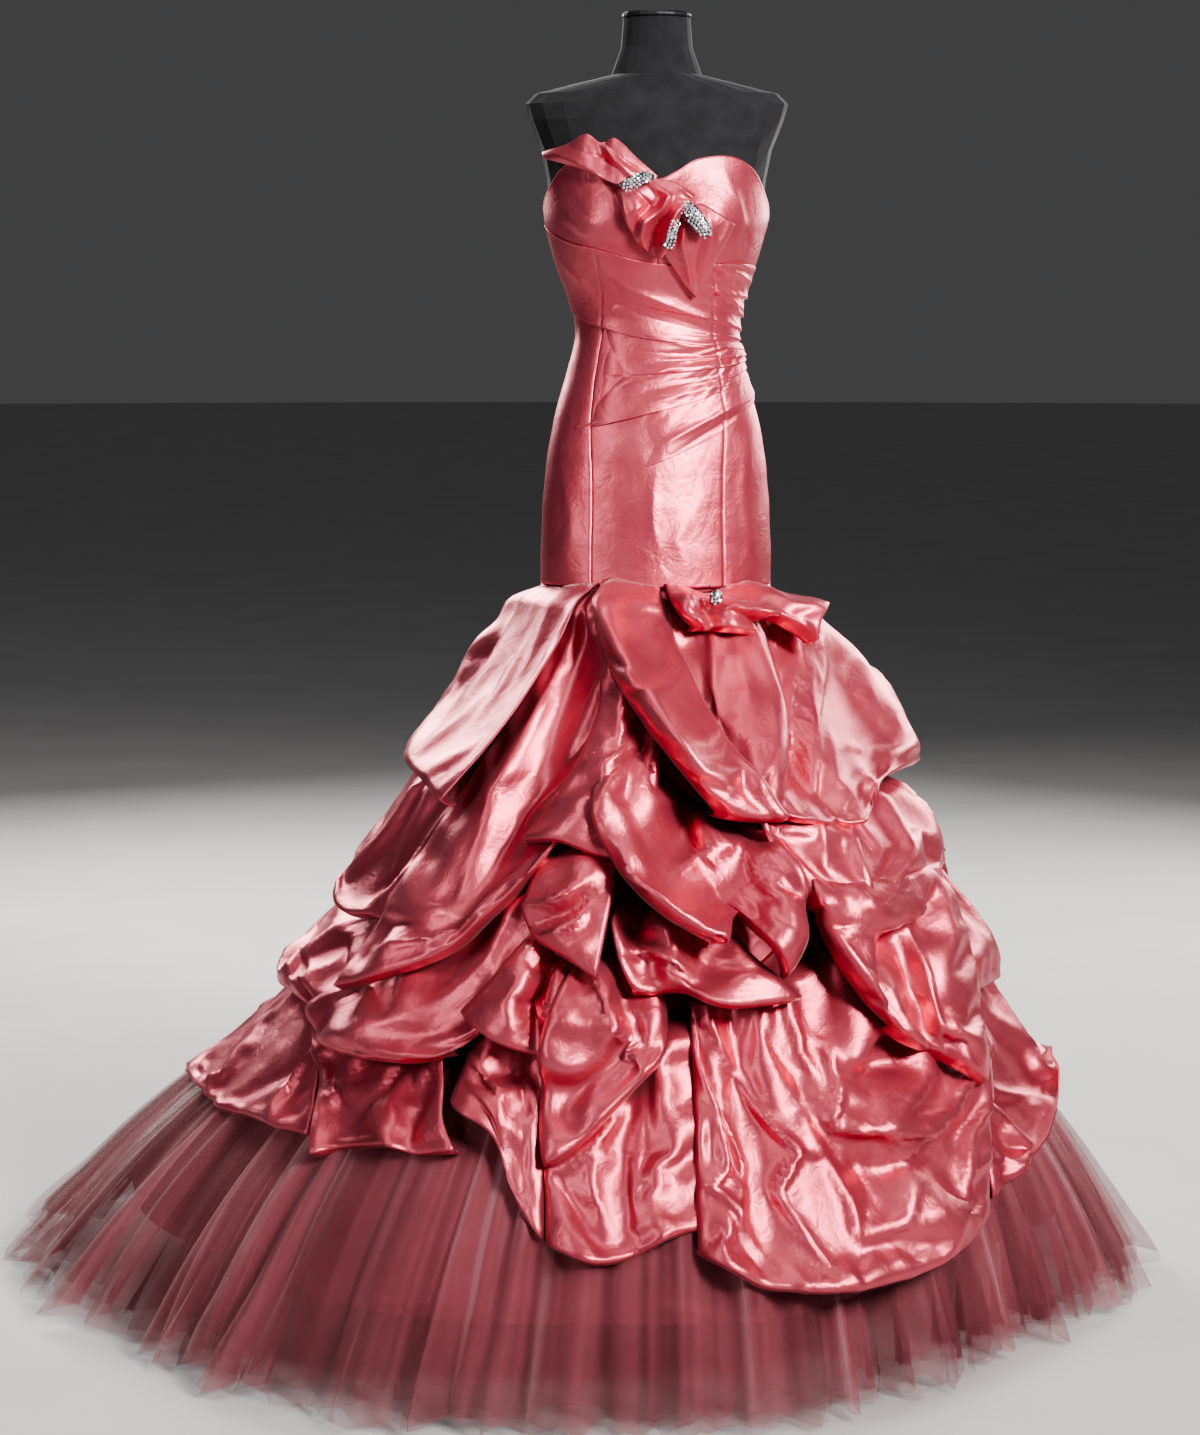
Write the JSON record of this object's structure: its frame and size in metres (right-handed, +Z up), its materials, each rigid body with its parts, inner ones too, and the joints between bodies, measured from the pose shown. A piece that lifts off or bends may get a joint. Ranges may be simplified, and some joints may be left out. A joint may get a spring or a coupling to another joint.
{
  "type": "mermaid gown on dress form",
  "caption": "Strapless mermaid gown: fitted draped satin bodice with bows, picked-up satin overskirt over a full tulle hem, standing on a limbless dress form",
  "frame": {"origin": "centre of the stand base's flat underside, on the floor", "axes": "+Z up along the dress form, -Y towards the gown's front, +X to the right as seen from the front; left and right in the nodes' names are as seen from the front"},
  "size_m": [1.6457, 1.5362, 1.7853],
  "materials": {
    "satin": "coral pink duchess satin, bright soft sheen",
    "tulle": "dusty rose tulle, matt and sheer",
    "jersey": "black cotton jersey, matt",
    "gloss_black": "black lacquer",
    "steel": "satin steel tube",
    "rhinestone": "clear cut stones in a silver setting"
  },
  "bodies": {
    "root": {"brooch_hip": "rhinestone", "brooch_lower_left": "rhinestone", "brooch_lower_right": "rhinestone", "brooch_upper": "rhinestone", "bust_bow_knot": "satin", "bust_bow_lower_leaf": "satin", "bust_bow_upper_leaf": "satin", "cup_left": "satin", "cup_right": "satin", "form_neck_cap": "gloss_black", "form_torso": "jersey", "gore_back_left": "satin", "gore_back_left_side": "satin", "gore_back_right": "satin", "gore_back_right_side": "satin", "gore_front_centre": "satin", "gore_front_left_side": "satin", "gore_front_right_side": "satin", "hip_bow_loop": "satin", "hip_bow_tail": "satin", "satin_back_low_centre": "satin", "satin_back_low_left": "satin", "satin_back_low_right": "satin", "satin_back_mid_centre": "satin", "satin_back_mid_left": "satin", "satin_back_mid_right": "satin", "satin_back_top_left": "satin", "satin_back_top_right": "satin", "satin_balloon_right": "satin", "satin_cowl_centre": "satin", "satin_drape_centre": "satin", "satin_drape_left": "satin", "satin_flap_left_top": "satin", "satin_fold_centre": "satin", "satin_hem_centre": "satin", "satin_hem_centre_left": "satin", "satin_hem_far_left": "satin", "satin_hem_left": "satin", "satin_point_flap": "satin", "satin_puff_right_mid": "satin", "satin_puff_right_top": "satin", "satin_roll_centre": "satin", "satin_ruffle_centre": "satin", "satin_side_left_high": "satin", "satin_side_left_low": "satin", "satin_side_right_low": "satin", "satin_side_right_mid": "satin", "satin_swag_left_low": "satin", "satin_swag_right_low": "satin", "satin_swirl_low": "satin", "stand_base": "gloss_black", "stand_pole": "steel", "tulle_inner": "tulle", "tulle_outer": "tulle", "underskirt": "satin", "wrap_hip": "satin", "wrap_midriff": "satin", "wrap_waist": "satin"}
  },
  "joints": []
}
